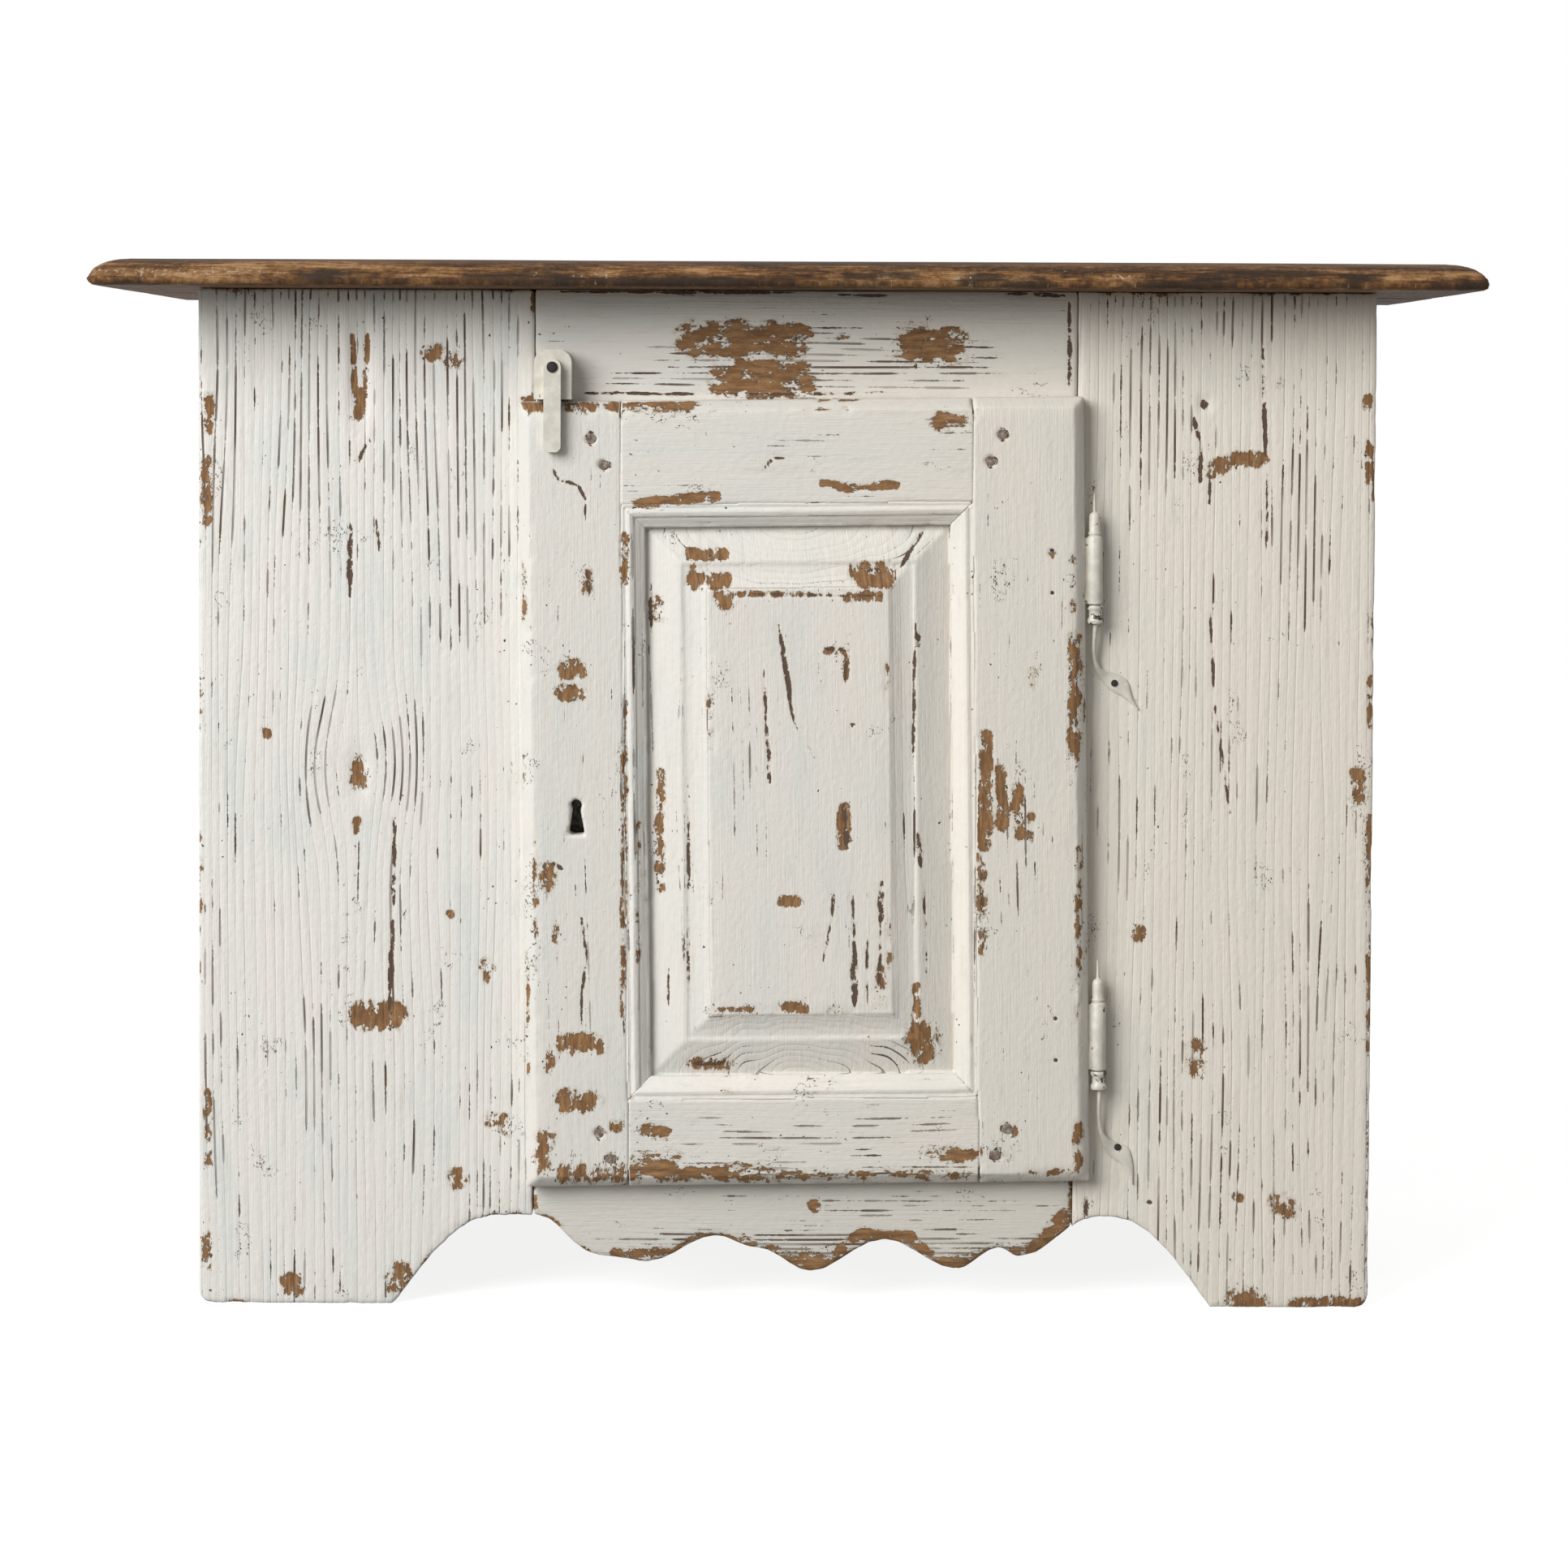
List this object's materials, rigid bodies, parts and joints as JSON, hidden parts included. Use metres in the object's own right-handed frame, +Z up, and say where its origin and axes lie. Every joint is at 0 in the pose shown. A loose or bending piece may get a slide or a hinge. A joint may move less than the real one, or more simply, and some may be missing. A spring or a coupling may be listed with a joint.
{
  "type": "buffet cabinet",
  "caption": "Low painted wooden cupboard with an overhanging bare top, a scalloped apron between bracket feet and a panelled door on iron rat-tail hinges, held by a turn button.",
  "frame": {"origin": "on the floor under the middle of the top", "axes": "+X to the right as seen from the front, +Y from the front to the back, +Z up"},
  "size_m": [1.05, 0.51, 0.801],
  "materials": {
    "painted_wood": "worn off-white paint, cracked along the grain",
    "top_wood": "bare, dark and scuffed",
    "raw_wood": "unpainted old softwood",
    "peg_wood": "rubbed end grain",
    "iron": "dark forged iron",
    "painted_iron": "iron with flaking off-white paint"
  },
  "bodies": {
    "carcass": {"front_plank_left": "painted_wood", "front_plank_right": "painted_wood", "front_top_rail": "painted_wood", "front_apron": "painted_wood", "side_board_left_front": "painted_wood", "side_board_left_back": "painted_wood", "side_board_right_front": "painted_wood", "side_board_right_back": "painted_wood", "back_board_1": "raw_wood", "back_board_2": "raw_wood", "back_board_3": "raw_wood", "back_board_4": "raw_wood", "floor_board_front": "raw_wood", "floor_board_back": "raw_wood", "floor_cleat_left": "raw_wood", "floor_cleat_right": "raw_wood", "shelf_board_front": "raw_wood", "shelf_board_back": "raw_wood", "shelf_cleat_left": "raw_wood", "shelf_cleat_right": "raw_wood", "top_batten_left": "raw_wood", "top_batten_right": "raw_wood", "top_board_front": "top_wood", "top_board_back": "top_wood", "hinge_pintle_upper": "iron", "hinge_pintle_lower": "iron", "hinge_nail_upper": "iron", "hinge_nail_lower": "iron", "button_block": "painted_wood", "button_screw": "iron", "strike_plate": "iron"},
    "door": {"door_stile_left": "painted_wood", "door_stile_right": "painted_wood", "door_rail_top": "painted_wood", "door_rail_bottom": "painted_wood", "door_panel": "painted_wood", "moulding_left": "painted_wood", "moulding_right": "painted_wood", "moulding_top": "painted_wood", "moulding_bottom": "painted_wood", "door_peg_top_left_outer": "peg_wood", "door_peg_top_left_inner": "peg_wood", "door_peg_top_right_outer": "peg_wood", "door_peg_top_right_inner": "peg_wood", "door_peg_bottom_left_outer": "peg_wood", "door_peg_bottom_left_inner": "peg_wood", "door_peg_bottom_right_outer": "peg_wood", "door_peg_bottom_right_inner": "peg_wood", "hinge_leaf_upper": "painted_iron", "hinge_leaf_lower": "painted_iron", "hinge_pin_upper_top": "iron", "hinge_pin_upper_bottom": "iron", "hinge_pin_lower_top": "iron", "hinge_pin_lower_bottom": "iron", "lock_case": "iron", "lock_screw_top": "iron", "lock_screw_bottom": "iron"},
    "bolt": {"lock_bolt": "iron"},
    "button": {"turn_button": "painted_wood"}
  },
  "joints": [
    {"name": "door_swing", "type": "hinge", "parent": "carcass", "child": "door", "pos_m": [0.2375, -0.194, 0.40011], "axis": [-0.014, 0, 0.9999], "range_deg": [0, 140]},
    {"name": "button_turn", "type": "hinge", "parent": "carcass", "child": "button", "pos_m": [-0.178, -0.2103, 0.72078], "axis": [0, 1, 0], "range_deg": [-120, 120]},
    {"name": "bolt_throw", "type": "slide", "parent": "door", "child": "bolt", "axis": [-0.9999, 0, -0.014], "range_m": [0, 0.01]}
  ]
}
